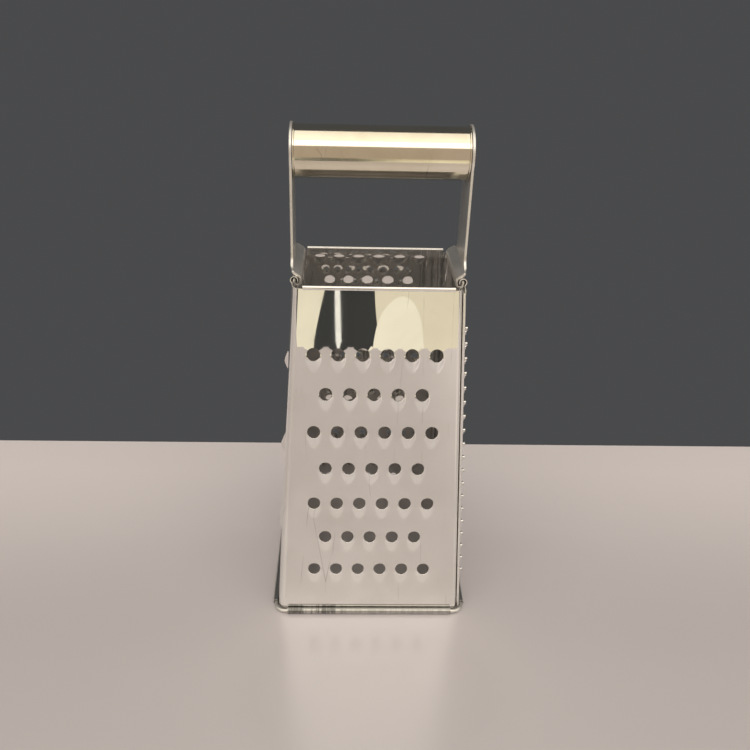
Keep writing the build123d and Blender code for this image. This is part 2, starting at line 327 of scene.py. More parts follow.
# A hole burst through from behind, with four points round it
def burrTile(name, values):
    border = tileBorder(values)
    count = len(border)
    angles = [math.radians(225 + 360 * k / count) for k in range(count)]
    points = [abs(math.sin(2 * a)) for a in angles]        # 1 at a point, 0 at a valley
    rim = []
    for angle, point in zip(angles, points):
        radius = values["valleyRadius"] + (values["tipRadius"] - values["valleyRadius"]) * point
        height = values["rise"] * (values["valley"] + (1 - values["valley"]) * point)
        rim.append((radius * math.cos(angle), radius * math.sin(angle), height))
    rings = [rim]
    for radius, share in values["shoulders"]:
        rings.append([(radius * math.cos(a), radius * math.sin(a), values["rise"] * share) for a in angles])
    rings.append([(x, y, 0.0) for x, y in border])
    return ringTile(name, rings)


# A raised slope that ends in a long cutting edge, over a slot
def bladeTile(name, values):
    half, foot, rise = values["halfWidth"], values["halfFoot"], values["rise"]
    runIn, runOut, slot, margin = values["runIn"], values["runOut"], values["slot"], values["edgeMargin"]
    ends = [foot + margin, foot, foot - 0.5, foot - 1, foot - 1.5, foot - 2, foot - 2.5, half]
    across = [-x for x in ends] + [half * i / 6 for i in range(-5, 6)] + ends[::-1]
    above = [runIn + margin, runIn, runIn - 0.5, runIn - 1, runIn - 2] + [runIn * i / 8 for i in range(6, 0, -1)]
    down = above + [0.3, 0.0, -slot] + [-slot - (runOut - slot) * i / 6 for i in range(1, 7)] + [-runOut - margin]

    def lift(x, y):
        sides = min(1.0, max(0.0, (foot - abs(x)) / (foot - half)))
        slope = (runIn - y) / runIn if y >= 0 else (y + runOut) / runOut
        share = min(sides, max(0.0, slope))
        soft = share * share * (3 - 2 * share)
        return rise * (share + (soft - share) * values["rounding"])

    points = [(x, y, lift(x, y)) for y in down for x in across]
    count = len(across)
    faces = []
    for r in range(len(down) - 1):
        for c in range(count - 1):
            middle = (across[c] + across[c + 1]) / 2
            if down[r] == 0.0 and abs(middle) < half:
                continue
            a = r * count + c
            faces.append((a, a + count, a + count + 1, a + 1))
    return tileObject(name, points, faces)


def setInput(tree, socket, value):
    if isinstance(value, bpy.types.NodeSocket):
        tree.links.new(value, socket)
    else:
        socket.default_value = (*value, 1) if socket.type == "RGBA" else value


# A node with its settings. Each input is a value or the output of another node
def addNode(tree, kind, inputs=None, **settings):
    node = tree.nodes.new(kind)
    for key, value in settings.items():
        setattr(node, key, value)
    for name, value in (inputs or {}).items():
        setInput(tree, node.inputs[name], value)
    return node


def mathNode(tree, operation, *values):
    node = addNode(tree, "ShaderNodeMath", operation=operation)
    for socket, value in zip(node.inputs, values):
        setInput(tree, socket, value)
    return node.outputs[0]


def axesOf(tree, vector):
    return addNode(tree, "ShaderNodeSeparateXYZ", {"Vector": vector}).outputs


# Geometry Nodes: rows of one tile down a wall, every second row moved half a pitch
def punchedRowsTree():
    tree = bpy.data.node_groups.new("punchedRows", "GeometryNodeTree")
    tree.is_modifier = True
    for kind, names in (
        ("Object", ["Tile"]), ("Int", ["Columns", "Rows"]),
        ("Float", ["Pitch", "Row Pitch", "First Row", "Shift", "Stagger", "Fan"]), ("Material", ["Material"]),
    ):
        for name in names:
            tree.interface.new_socket(name, in_out="INPUT", socket_type="NodeSocket" + kind)
    tree.interface.new_socket("Geometry", in_out="OUTPUT", socket_type="NodeSocketGeometry")
    calc = partial(mathNode, tree)
    given = addNode(tree, "NodeGroupInput").outputs
    pitch, rowPitch = given["Pitch"], given["Row Pitch"]
    sizeX = calc("MULTIPLY", calc("SUBTRACT", given["Columns"], 1), pitch)
    sizeY = calc("MULTIPLY", calc("SUBTRACT", given["Rows"], 1), rowPitch)
    grid = addNode(tree, "GeometryNodeMeshGrid", {
        "Size X": sizeX, "Size Y": sizeY, "Vertices X": given["Columns"], "Vertices Y": given["Rows"],
    })
    place = axesOf(tree, addNode(tree, "GeometryNodeInputPosition").outputs[0])
    row = calc("ROUND", calc("DIVIDE", calc("SUBTRACT", calc("DIVIDE", sizeY, 2), place["Y"]), rowPitch))
    # a moved row is one tile short
    moved = calc("MULTIPLY", calc("MODULO", row, 2), given["Stagger"])
    lastColumn = calc("GREATER_THAN", place["X"],
                      calc("SUBTRACT", calc("DIVIDE", sizeX, 2), calc("DIVIDE", pitch, 4)))
    kept = addNode(tree, "GeometryNodeDeleteGeometry", {
        "Geometry": grid.outputs["Mesh"],
        "Selection": calc("GREATER_THAN", calc("MULTIPLY", moved, lastColumn), 0.5),
    }, domain="POINT")
    sideways = calc("ADD", calc("MULTIPLY", calc("MULTIPLY", moved, pitch), 0.5), given["Shift"])
    spread = calc("MULTIPLY", calc("MULTIPLY", row, rowPitch), given["Fan"])
    offset = addNode(tree, "ShaderNodeCombineXYZ", {
        "X": calc("ADD", sideways, calc("MULTIPLY", calc("ADD", place["X"], sideways), spread)),
        "Y": calc("SUBTRACT", calc("MULTIPLY", sizeY, -0.5), given["First Row"]),
    })
    shifted = addNode(tree, "GeometryNodeSetPosition",
                      {"Geometry": kept.outputs["Geometry"], "Offset": offset.outputs[0]})
    points = addNode(tree, "GeometryNodeMeshToPoints", {"Mesh": shifted.outputs["Geometry"]})
    tile = addNode(tree, "GeometryNodeObjectInfo", {"Object": given["Tile"]})
    copies = addNode(tree, "GeometryNodeInstanceOnPoints",
                     {"Points": points.outputs["Points"], "Instance": tile.outputs["Geometry"]})
    real = addNode(tree, "GeometryNodeRealizeInstances", {"Geometry": copies.outputs["Instances"]})
    painted = addNode(tree, "GeometryNodeSetMaterial",
                      {"Geometry": real.outputs["Geometry"], "Material": given["Material"]})
    addNode(tree, "NodeGroupOutput", {"Geometry": painted.outputs["Geometry"]})
    return tree


punchedRows = punchedRowsTree()


# The wall's punched area as a plain mesh: x across the wall, y up its slope, z out of it
def punchedArea(tile, values, stagger):
    holder = bpy.data.objects.new(tile.name + "Rows", bpy.data.meshes.new(tile.name + "Rows"))
    scene.collection.objects.link(holder)
    rows = holder.modifiers.new("rows", "NODES")
    rows.node_group = punchedRows
    wanted = {
        "Tile": tile, "Columns": values["columns"], "Rows": values["rows"], "Pitch": values["pitch"],
        "Row Pitch": values["rowPitch"], "First Row": values["firstRow"], "Shift": values["shift"],
        "Stagger": stagger, "Fan": values["fan"],
    }
    for socket in punchedRows.interface.items_tree:
        if socket.name in wanted:
            rows[socket.identifier] = wanted[socket.name]
    mesh = bpy.data.meshes.new_from_object(holder.evaluated_get(bpy.context.evaluated_depsgraph_get()))
    bpy.data.objects.remove(holder)
    build = bmesh.new()
    build.from_mesh(mesh)
    bmesh.ops.remove_doubles(build, verts=build.verts, dist=mergeGap)
    build.to_mesh(mesh)
    build.free()
    return mesh


# Points on a wall: across it, up its slope from the rim's height, and out from its middle surface
def wallPoint(rimSize, out, across, u, v, h):
    up = Vector((0, 0, 1))
    normal = out * math.cos(lean) + up * math.sin(lean)
    slope = up * math.cos(lean) - out * math.sin(lean)
    base = out * rimSize / 2 + up * box["height"]
    return base + across * u + slope * v + normal * (h - box["sheet"] / 2)


def slopeAt(z):
    return (z - box["height"] + box["sheet"] / 2 * math.sin(lean)) / math.cos(lean)


# A wall between its two bends: the punched area, and the plain sheet round it
def addWall(shape, rimSize, out, across, outline, area, boxes):
    base = len(shape["points"])
    shape["points"] += [wallPoint(rimSize, out, across, *v.co) for v in area.vertices]
    shape["faces"] += [tuple(base + i for i in face.vertices) for face in area.polygons]
    counts = {}
    for face in area.polygons:
        for key in face.edge_keys:
            counts[key] = counts.get(key, 0) + 1
    single = [key for key, count in counts.items() if count == 1]
    used = sorted({i for key in single for i in key})
    number = {old: new for new, old in enumerate(used)}
    points = [Vector(area.vertices[i].co[:2]) for i in used]
    edges = [(number[a], number[b]) for a, b in single]
    edges += ringEdges(len(outline), len(points))
    points += [Vector(p) for p in outline]
    addFlat(shape, points, edges, lambda p: wallPoint(rimSize, out, across, p.x, p.y, 0.0),
            lambda p: not any(x0 < p.x < x1 and y0 < p.y < y1 for x0, x1, y0, y1 in boxes))


# Where the tiles lie on a wall, a hair over size
def tileBoxes(values, stagger, halfWidth, above, below):
    boxes, hair = [], 0.01
    for row in range(values["rows"]):
        count = values["columns"] - (row % 2 if stagger else 0)
        for column in range(count):
            down = row * values["rowPitch"]
            x = ((column - (count - 1) / 2) * values["pitch"] + values["shift"]) * (1 + values["fan"] * down)
            y = -values["firstRow"] - down
            boxes.append((x - halfWidth - hair, x + halfWidth + hair, y - below - hair, y + above + hair))
    return boxes


def toothBoxes(values):
    return tileBoxes(values, True, values["tile"][0] / 2, values["tile"][1] / 2, values["tile"][1] / 2)


levels = [wallBottom + (seamTop - wallBottom) * i / box["levels"] for i in range(box["levels"] + 1)]
allLevels = levels + [wallTop]


# Plan lines of the sheet at a height, outside its two walls
def hookLine(z):
    side, ahead = halfSizes(z)
    turn = arc((side - (hookAt + tongueAt) / 2, -ahead + seam["depth"]), (tongueAt - hookAt) / 2,
               0, 180, seam["steps"])
    start = (side - hookAt, -ahead + foldTurn + box["sheet"])
    return [start] + turn + [(side - tongueAt, -ahead + halfCut + seamBend)]


def seamCornerLine(z):
    side, ahead = halfSizes(z)
    centre = (side - tongueAt - seamBend, -ahead + halfCut + seamBend)
    return arc(centre, seamBend, 0, -90, box["bendSteps"])


def cornerLine(z):
    side, ahead = halfSizes(z)
    centre = (-side + halfCut + cornerBend, -ahead + halfCut + cornerBend)
    return arc(centre, cornerBend, 270, -90, box["bendSteps"])


def foldLine(z):
    side, ahead = halfSizes(z)
    turn = arc((-side + (halfCut + foldAt) / 2, ahead - foldTurn), (foldAt - halfCut) / 2,
               180, -180, seam["steps"])
    return turn + [(-side + foldAt, ahead - seam["depth"] + box["sheet"])]


# Section of a rolled edge: distance out from the middle, and height
def rollSection(rimSize, startZ, centreZ, roll, sweep):
    radius = roll / 2 - box["sheet"] / 2
    centre = halfSize(rimSize, centreZ) - halfCut + radius / math.cos(lean)
    turn = arc((centre, centreZ), radius, 180 + math.degrees(lean), sweep, rolls["steps"])
    lowest = box["sheet"] / 2
    return [(halfSize(rimSize, startZ) - halfCut, startZ)] + [(x, max(z, lowest)) for x, z in turn]


def hookSection():
    turn = arc((hook["across"], box["height"]), hook["radius"], -hook["open"], 180 + hook["open"], hook["steps"])
    start = (halfSize(box["rimWidth"], wallTop) - halfCut, wallTop)
    end = (hook["across"] - hook["radius"], box["height"] - hook["tail"])
    return [start] + turn + [end]


front, left = Vector((0, -1, 0)), Vector((-1, 0, 0))
alongFront, alongLeft = Vector((1, 0, 0)), Vector((0, -1, 0))
rimHalf = box["rimWidth"] / 2 - box["relief"]
hookHalf = box["rimDepth"] / 2 - box["relief"]
frontFootHalf = box["rimWidth"] / 2 + box["spread"] - box["relief"]
sideFootHalf = box["rimDepth"] / 2 + box["spread"] - box["relief"]
footCentre = rolls["footSize"] / 2 - rolls["footPress"]


def addEdge(shape, section, out, along, half):
    rows = []
    for u in (-half, half):
        rows.append([out * x + along * u + Vector((0, 0, z)) for x, z in section])
    addGrid(shape, rows)


def wallOutline(footHalf, topHalf, rightAt, leftAt):
    low, high = slopeAt(wallBottom), slopeAt(wallTop)
    right = [(rightAt(z), slopeAt(z)) for z in allLevels]
    left = [(leftAt(z), slopeAt(z)) for z in allLevels]
    return [(-footHalf, low), (footHalf, low)] + right + [(topHalf, high), (-topHalf, high)] + left[::-1]


# One sheet: a wall that faces the front, a wall that faces left, their bends, seam halves and edges
def sheetShape(frontTile, frontValues, frontBoxes, leftTile, leftValues, leftBoxes, leftStagger):
    shape = {"points": [], "faces": []}
    for lineAt, heights in ((hookLine, levels), (seamCornerLine, allLevels), (cornerLine, allLevels),
                            (foldLine, levels)):
        addGrid(shape, [[(x, y, z) for x, y in lineAt(z)] for z in heights])
    outline = wallOutline(frontFootHalf, rimHalf, lambda z: seamCornerLine(z)[-1][0], lambda z: cornerLine(z)[0][0])
    addWall(shape, box["rimDepth"], front, alongFront, outline,
            punchedArea(frontTile, frontValues, 1.0), frontBoxes)
    outline = wallOutline(sideFootHalf, hookHalf, lambda z: -cornerLine(z)[-1][1], lambda z: -foldLine(z)[0][1])
    addWall(shape, box["rimWidth"], left, alongLeft, outline,
            punchedArea(leftTile, leftValues, leftStagger), leftBoxes)
    rimCentre = box["height"] - rolls["rimSize"] / 2
    rim = rollSection(box["rimDepth"], wallTop, rimCentre, rolls["rimSize"], rolls["rimSweep"])
    addEdge(shape, rim, front, alongFront, rimHalf)
    addEdge(shape, hookSection(), left, alongLeft, hookHalf)
    for rimSize, out, along, half in (
        (box["rimDepth"], front, alongFront, frontFootHalf),
        (box["rimWidth"], left, alongLeft, sideFootHalf),
    ):
        foot = rollSection(rimSize, wallBottom, footCentre, rolls["footSize"], rolls["footSweep"])
        addEdge(shape, foot, out, along, half)
    return shape


coarseTile = toothTile("coarseTooth", coarse)
fineTile = toothTile("fineTooth", fine)
raspTile = burrTile("raspBurr", burr)
slicerTile = bladeTile("slicingBlade", blade)
bladeBoxes = tileBoxes(blade, False, blade["halfFoot"] + blade["edgeMargin"],
                       blade["runIn"] + blade["edgeMargin"], blade["runOut"] + blade["edgeMargin"])

print("sheets: walls, bends, lock seams, rolled and hooked edges")
flats = []
for rimSize, out, across in ((box["rimDepth"], front, alongFront), (box["rimWidth"], left, alongLeft)):
    place = wallPoint(rimSize, out, across, 0, 0, 0)
    flats.append((place, wallPoint(rimSize, out, across, 0, 0, 1) - place))
frontLeftShape = sheetShape(coarseTile, coarse, toothBoxes(coarse), slicerTile, blade, bladeBoxes, 0.0)
rearRightShape = sheetShape(fineTile, fine, toothBoxes(fine), raspTile, burr, toothBoxes(burr), 1.0)
addPiece("frontLeftSheet", shellMesh("frontLeftSheet", frontLeftShape, box["sheet"], flats),
         "grater", "front_left_sheet")
addPiece("rearRightSheet", shellMesh("rearRightSheet", rearRightShape, box["sheet"], flats, 180.0),
         "grater", "rear_right_sheet")
for tile in (coarseTile, fineTile, raspTile, slicerTile):
    bpy.data.objects.remove(tile)

print("foot wire: a ring in the rolls, bare at the corners")
wire = {"size": 1.7, "play": 0.05, "bend": 4.9, "bendSteps": 12, "turns": 20}


def wireMesh(name):
    radius = wire["size"] / 2
    height = footCentre - rolls["footSize"] / 2 + box["sheet"] + wire["play"] + radius
    rollOut = (rolls["footSize"] - box["sheet"]) / 2 / math.cos(lean) - halfCut
    side = halfSize(box["rimWidth"], footCentre) + rollOut
    ahead = halfSize(box["rimDepth"], footCentre) + rollOut
    line = []
    for start, sx, sy in ((0, 1, 1), (90, -1, 1), (180, -1, -1), (270, 1, -1)):
        centre = (sx * (side - wire["bend"]), sy * (ahead - wire["bend"]))
        for i in range(wire["bendSteps"] + 1):
            turn = math.radians(start + 90 * i / wire["bendSteps"])
            line.append((centre, Vector((math.cos(turn), math.sin(turn), 0))))
    rows = []
    for centre, out in line + line[:1]:
        middle = Vector((*centre, height)) + out * wire["bend"]
        rows.append([middle + out * radius * math.cos(math.tau * i / wire["turns"])
                     + Vector((0, 0, radius * math.sin(math.tau * i / wire["turns"])))
                     for i in range(wire["turns"] + 1)])
    shape = {"points": [], "faces": []}
    addGrid(shape, rows)
    build = mergedMesh(shape)
    bmesh.ops.scale(build, vec=(mm, mm, mm), verts=build.verts)
    mesh = bpy.data.meshes.new(name)
    build.to_mesh(mesh)
    build.free()
    mesh.shade_smooth()
    return mesh


addPiece("footWireRing", wireMesh("footWireRing"), "grater", "foot_wire")

print("straps: cheek, waist, foot, shoulder and curl")
strap = {
    "thickness": 1.0,
    "span": 73.5,
    "footHalf": 18.0,
    "waistHalf": 11.0,
    "cheekRadius": 11.6,
    "flareRadius": 5.5,
    "earRadius": 1.2,
    "shoulderAngle": 32.3,
    "shoulderRadius": 2.0,
    "hookPlay": 0.12,
    "curlPlay": 0.4,
    "curlDrop": 1.2,
    "curlTail": 1.6,
    "cupRadius": 10.15,
    "cupDepth": 6.0,
    "cupBend": 0.7,
    "cupCentre": 0.6,       # the floor's middle is closed by a fan of this radius
    "cupTurns": 72,
    "cupBendSteps": 6,
    "columns": 12,
    "shoulderSteps": 8,
    "curlSteps": 14,
    "cheekSteps": 24,
    "underSteps": 6,
    "legSteps": 10,
    "gripRise": 48.8,       # the grip's axis above the rim
}
gripHeight = box["height"] + strap["gripRise"]
strapAcross = strap["span"] / 2 - strap["thickness"] / 2
cupFloor = strapAcross - strap["cupDepth"]
cupMiddle = strap["cupRadius"] - strap["thickness"] / 2
cupMouth = cupMiddle + strap["cupBend"]
shoulderSlope = math.radians(strap["shoulderAngle"])


def shoulderHeight(across):
    clear = hook["radius"] + box["sheet"] / 2 + strap["hookPlay"] + strap["thickness"] / 2
    return box["height"] + (clear + (across - hook["across"]) * math.sin(shoulderSlope)) / math.cos(shoulderSlope)


footTop = shoulderHeight(strapAcross)


def strapHalfWidth(z):
    up = z - gripHeight
    cheek = math.sqrt(max(0.0, strap["cheekRadius"] ** 2 - up ** 2))
    if up >= 0:
        return cheek
    if z > footTop + strap["flareRadius"]:
        return max(strap["waistHalf"], cheek)
    if z > footTop:
        down = footTop + strap["flareRadius"] - z
        return strap["waistHalf"] + strap["flareRadius"] - math.sqrt(strap["flareRadius"] ** 2 - down ** 2)
    down = min(strap["earRadius"], footTop - z)
    inner = strap["footHalf"] - strap["earRadius"]
    return inner + math.sqrt(strap["earRadius"] ** 2 - (strap["earRadius"] - down) ** 2)


def strapShape(side):
    shape = {"points": [], "faces": []}
    curlRadius = (hook["radius"] + box["sheet"] / 2 + strap["thickness"] / 2 + strap["curlPlay"]) / 2
    tuck = hook["across"] - 2 * curlRadius
    curlHeight = box["height"] - strap["curlDrop"]
    top = gripHeight + strap["cheekRadius"]
    profile = [tuple(p) for p in roundedLine(
        [(strapAcross, top), (strapAcross, footTop), (tuck, shoulderHeight(tuck)), (tuck, curlHeight)],
        strap["shoulderRadius"], strap["shoulderSteps"],
    )]
    bendTop = profile[1][1]
    curl = arc((tuck + curlRadius, curlHeight), curlRadius, 180, 180, strap["curlSteps"])
    lower = profile[1:-1] + curl + [(hook["across"], curlHeight + strap["curlTail"])]
    steps = strap["columns"]
    rows = []
    for number, (x, z) in enumerate(lower):
        half = strap["footHalf"] if number > strap["shoulderSteps"] else strapHalfWidth(z)
        rows.append([(side * x, half * (2 * i / steps - 1), z) for i in range(steps + 1)])
    addGrid(shape, rows)
    # flat cheek and leg, with the cup's mouth in it
    ring = [(-y, z + gripHeight) for y, z in arc((0, 0), cupMouth, 0, 360, strap["cupTurns"])[:-1]]
    cheekTurns = [math.radians(90 * i / strap["cheekSteps"]) for i in range(strap["cheekSteps"] + 1)]
    border = [(strap["cheekRadius"] * math.sin(t), gripHeight + strap["cheekRadius"] * math.cos(t))
              for t in cheekTurns]
    waistTop = gripHeight - math.sqrt(strap["cheekRadius"] ** 2 - strap["waistHalf"] ** 2)
    flareTop = footTop + strap["flareRadius"]
    heights = [gripHeight - (gripHeight - waistTop) * i / strap["underSteps"]
               for i in range(1, strap["underSteps"] + 1)]
    heights += [flareTop - (flareTop - bendTop) * i / strap["legSteps"] for i in range(strap["legSteps"])]
    border += [(strapHalfWidth(z), z) for z in heights]
    bottom = [(strapHalfWidth(bendTop) * (1 - 2 * i / steps), bendTop) for i in range(steps + 1)]
    outline = border + bottom + [(-y, z) for y, z in border[:0:-1]]
    middle, hair = Vector((0, gripHeight)), 0.02
    addFlat(shape, [Vector(p) for p in outline + ring],
            ringEdges(len(outline)) + ringEdges(len(ring), len(outline)),
            lambda p: Vector((side * strapAcross, p.x, p.y)),
            lambda p: abs(p.x) < strapHalfWidth(p.y) + hair and (p - middle).length >= cupMouth)
    # cup: mouth bend, wall, floor bend and floor
    turns = strap["cupTurns"]
    section = roundedLine(
        [(strapAcross, cupMouth), (strapAcross, cupMiddle), (cupFloor, cupMiddle), (cupFloor, strap["cupCentre"])],
        strap["cupBend"], strap["cupBendSteps"],
    )[1:]
    addGrid(shape, [[(side * x, -radius * math.cos(math.tau * i / turns),
                      gripHeight + radius * math.sin(math.tau * i / turns)) for i in range(turns + 1)]
                    for x, radius in section])
    end = len(shape["points"])
    shape["points"].append(Vector((side * cupFloor, 0, gripHeight)))
    shape["faces"] += [(end - turns - 1 + i, end - turns + i, end) for i in range(turns)]
    return shape


def strapMesh(name, side):
    out = Vector((side, 0, 0))
    return shellMesh(name, strapShape(side), strap["thickness"], [(out * strapAcross, out), (out * cupFloor, out)])


addPiece("rightStrapPlate", strapMesh("rightStrapPlate", 1), "grater", "right_strap")
addPiece("leftStrapPlate", strapMesh("leftStrapPlate", -1), "grater", "left_strap")

print("grip: rolled tube with turned-out ends")
grip = {
    "radius": 10.7,
    "wall": 0.5,
    "flangeRadius": 11.3,
    "flangeBend": 0.6,
    "endPlay": 0.3,
    "slit": 0.3,
    "turns": 160,
    "bendSteps": 10,
}


def gripShape():
    shape = {"points": [], "faces": []}
    end = strap["span"] / 2 - strap["thickness"] - grip["endPlay"] - grip["wall"] / 2
    middle = grip["radius"] - grip["wall"] / 2
    section = roundedLine(
        [(-end, grip["flangeRadius"]), (-end, middle), (end, middle), (end, grip["flangeRadius"])],
        grip["flangeBend"], grip["bendSteps"],
    )
    gap = grip["slit"] / middle
    rows = []
    for i in range(grip["turns"] + 1):
        angle = -math.pi / 2 + gap / 2 + (math.tau - gap) * i / grip["turns"]
        rows.append([(x, r * math.cos(angle), gripHeight + r * math.sin(angle)) for x, r in section])
    addGrid(shape, rows)
    return shape


addPiece("gripTubeShell", shellMesh("gripTubeShell", gripShape(), grip["wall"], []),
         "grip", "grip_tube")

print("materials: polished sheet, strap steel and satin grip")


def mixed(tree, share, first, second):
    return addNode(tree, "ShaderNodeMix", {"Factor": share, "A": first, "B": second},
                   data_type="RGBA").outputs["Result"]


def ranged(tree, value, start, end, low=0.0, high=1.0, way="LINEAR"):
    return addNode(tree, "ShaderNodeMapRange", {
        "Value": value, "From Min": start, "From Max": end, "To Min": low, "To Max": high,
    }, interpolation_type=way).outputs[0]


def noiseOf(tree, vector, scale, detail, roughness=0.5, distortion=0.0):
    return addNode(tree, "ShaderNodeTexNoise", {
        "Vector": vector, "Scale": scale, "Detail": detail, "Roughness": roughness, "Distortion": distortion,
    }).outputs["Fac"]


def mapped(tree, vector, way="POINT", **inputs):
    return addNode(tree, "ShaderNodeMapping", {"Vector": vector, **inputs}, vector_type=way).outputs[0]


def bumped(tree, height, distance, **under):
    return addNode(tree, "ShaderNodeBump", {
        "Height": height, "Distance": distance, "Strength": 1.0, **under,
    }).outputs[0]


# A node group, from its inputs' usual values and the function that makes its outputs
def shaderGroup(name, inputs, build):
    tree = bpy.data.node_groups.new(name, "ShaderNodeTree")
    for label, value in {"Place": (0, 0, 0), **inputs}.items():
        kind = "NodeSocketFloat" if isinstance(value, float) else "NodeSocketVector"
        tree.interface.new_socket(label, in_out="INPUT", socket_type=kind).default_value = value
    made = build(tree, addNode(tree, "NodeGroupInput").outputs)
    for label in made:
        tree.interface.new_socket(label, in_out="OUTPUT", socket_type="NodeSocketFloat")
    addNode(tree, "NodeGroupOutput", made)
    return tree


def placeGroup(tree, group, place, inputs):
    return addNode(tree, "ShaderNodeGroup", {"Place": place, **inputs}, node_tree=group).outputs


# Slow waves that a pressed sheet keeps
def waveHeight(tree, given):
    return {"Height": noiseOf(tree, mapped(tree, given["Place"], Scale=given["Stretch"]), given["Scale"], 1.0, 0.4)}


# Hair scratches: thin slanting lines, here and there
def scratchMask(tree, given):
    place = mapped(tree, given["Place"], Rotation=given["Turn"], Scale=(1.0, 1.0, 0.06))
    cells = addNode(tree, "ShaderNodeTexVoronoi", {"Vector": place, "Scale": given["Scale"]},
                    feature="DISTANCE_TO_EDGE")
    thin = ranged(tree, cells.outputs["Distance"], 0.0, given["Amount"], 1.0, 0.0)
    some = ranged(tree, noiseOf(tree, given["Place"], 60.0, 2.0), 0.52, 0.66)
    return {"Mask": mathNode(tree, "MULTIPLY", thin, some)}


# Smears left by handling
def smearMask(tree, given):
    noise = noiseOf(tree, given["Place"], given["Scale"], 5.0, 0.55, 0.6)
    return {"Mask": ranged(tree, noise, given["Low"], given["High"])}


# 1 on the faces that look into the box, 0 on those outside
def insideMask(tree, given):
    place = axesOf(tree, given["Place"])
    masks = []
    for axis, limit in (("X", "Half Width"), ("Y", "Half Depth")):
        level = mathNode(tree, "MULTIPLY_ADD", place["Z"], given["Slope"], mathNode(tree, "ABSOLUTE", place[axis]))
        masks.append(mathNode(tree, "LESS_THAN", level, given[limit]))
    return {"Mask": mathNode(tree, "MULTIPLY", *masks)}


# Dull rolls at the foot, with painted shade in the crease at their top, and upright dark marks at the front and
# back, more on the left
def footMasks(tree, given):
    calc = partial(mathNode, tree)
    place = axesOf(tree, given["Place"])
    bars = noiseOf(tree, mapped(tree, given["Place"], Scale=(1.0, 0.02, 0.12)), 520.0, 3.0, 0.7)
    left = ranged(tree, place["X"], -0.020, -0.008, 0.7, 0.2, "SMOOTHSTEP")
    # painted shade: near black in the crease at the top of the roll
    crease = ranged(tree, place["Z"], given["Crease"], 0.0031, 0.0, 0.95)
    darkest = calc("MAXIMUM", calc("MULTIPLY", ranged(tree, bars, 0.43, 0.56), left), crease)
    ends = ranged(tree, calc("ABSOLUTE", place["Y"]), 0.0315, 0.0325)
    return {"Mask": calc("LESS_THAN", place["Z"], given["Top"]), "Marks": calc("MULTIPLY", darkest, ends)}


sheetWaves = shaderGroup("sheetWaves", {"Scale": 20.0, "Stretch": (1, 1, 1)}, waveHeight)
hairScratches = shaderGroup("hairScratches", {"Turn": (0, 0, 0), "Scale": 90.0, "Amount": 0.02}, scratchMask)
smears = shaderGroup("smears", {"Scale": 30.0, "Low": 0.4, "High": 0.7}, smearMask)
insideFaces = shaderGroup("insideFaces", {"Half Width": 0.04, "Half Depth": 0.03, "Slope": 0.05}, insideMask)
wornFoot = shaderGroup("wornFoot", {"Top": 0.0032, "Crease": 0.0028}, footMasks)


# The back wall's top leans in more than the rest, seen from inside
def bowedNormal(tree, place, inside, bow):
    calc = partial(mathNode, tree)
    axes = axesOf(tree, place)
    below = calc("DIVIDE", calc("SUBTRACT", bow["top"] * mm, axes["Z"]), bow["soft"] * mm)
    grown = calc("ADD", calc("EXPONENT", calc("MINIMUM", below, bow["reach"])), 1.0)
    drop = calc("MULTIPLY", calc("LOGARITHM", grown, math.e), -bow["slope"] * bow["soft"] * mm)
    behind = calc("GREATER_THAN", axes["Y"], 0.0)
    return bumped(tree, calc("MULTIPLY", drop, calc("MULTIPLY", inside, behind)), 1.0)


# Duller inner faces and foot rolls, and painted shade in the foot crease
def sheetWearAndCreaseShade(tree, place, inside, look, colour, roughness):
    foot = placeGroup(tree, wornFoot, place, {"Top": look["footTop"] * mm, "Crease": look["footCrease"] * mm})
    start, end = look["rimBand"]
    nearRim = ranged(tree, axesOf(tree, place)["Z"], start * mm, end * mm, 0.5, 1.0)
    wear = mathNode(tree, "MULTIPLY", inside, nearRim)
    worn = mixed(tree, foot["Mask"], colour, look["footColour"])
    # dark marks on the rolls, and painted shade in their crease
    marksAndCreaseShade = mathNode(tree, "MULTIPLY", foot["Mask"], foot["Marks"])
    return {
        "Base Color": mixed(tree, marksAndCreaseShade, worn, look["markAndCreaseShadeColour"]),
        "Roughness": mathNode(tree, "MULTIPLY_ADD", foot["Mask"], look["footRoughness"], roughness),
        "Metallic": ranged(tree, wear, 0.0, 1.0, look["metallic"], look["rimMetallic"]),
    }


def steel(name, look):
    material = bpy.data.materials.new(name)
    material.use_nodes = True
    tree = material.node_tree
    shader = tree.nodes["Principled BSDF"]
    shader.inputs["Metallic"].default_value = look["metallic"]
    place = addNode(tree, "ShaderNodeTexCoord").outputs["Object"]
    smear = placeGroup(tree, smears, place, {"Scale": look["smearScale"], "Low": 0.42, "High": 0.72})["Mask"]
    scratch = placeGroup(tree, hairScratches, place, {
        "Turn": look["scratchTurn"], "Scale": look["scratchScale"], "Amount": look["scratchWidth"],
    })["Mask"]
    streak, wave = [placeGroup(tree, sheetWaves, place, {
        "Scale": look[kind + "Scale"], "Stretch": look[kind + "Stretch"],
    })["Height"] for kind in ("streak", "wave")]
    colour = mixed(tree, scratch, mixed(tree, smear, look["colour"], look["smearColour"]), look["scratchColour"])
    roughness = mathNode(tree, "MULTIPLY_ADD", streak, look["streakRoughness"],
                         ranged(tree, smear, 0.0, 1.0, look["roughness"], look["smearRoughness"]))
    finish = {"Base Color": colour, "Roughness": roughness}
    under = {}
    if "footTop" in look:
        inside = placeGroup(tree, insideFaces, place, {
            "Slope": math.tan(lean),
            "Half Width": (halfSize(box["rimWidth"], 0) - halfCut) * mm,
            "Half Depth": (halfSize(box["rimDepth"], 0) - halfCut) * mm,
        })["Mask"]
        finish = sheetWearAndCreaseShade(tree, place, inside, look, colour, roughness)
        if "bow" in look:
            under["Normal"] = bowedNormal(tree, place, inside, look["bow"])
    waved = bumped(tree, wave, look["waveHeight"] * mm, **under)
    finish["Normal"] = bumped(tree, streak, look["streakHeight"] * mm, Normal=waved)
    for label, value in finish.items():
        setInput(tree, shader.inputs[label], value)
    return material


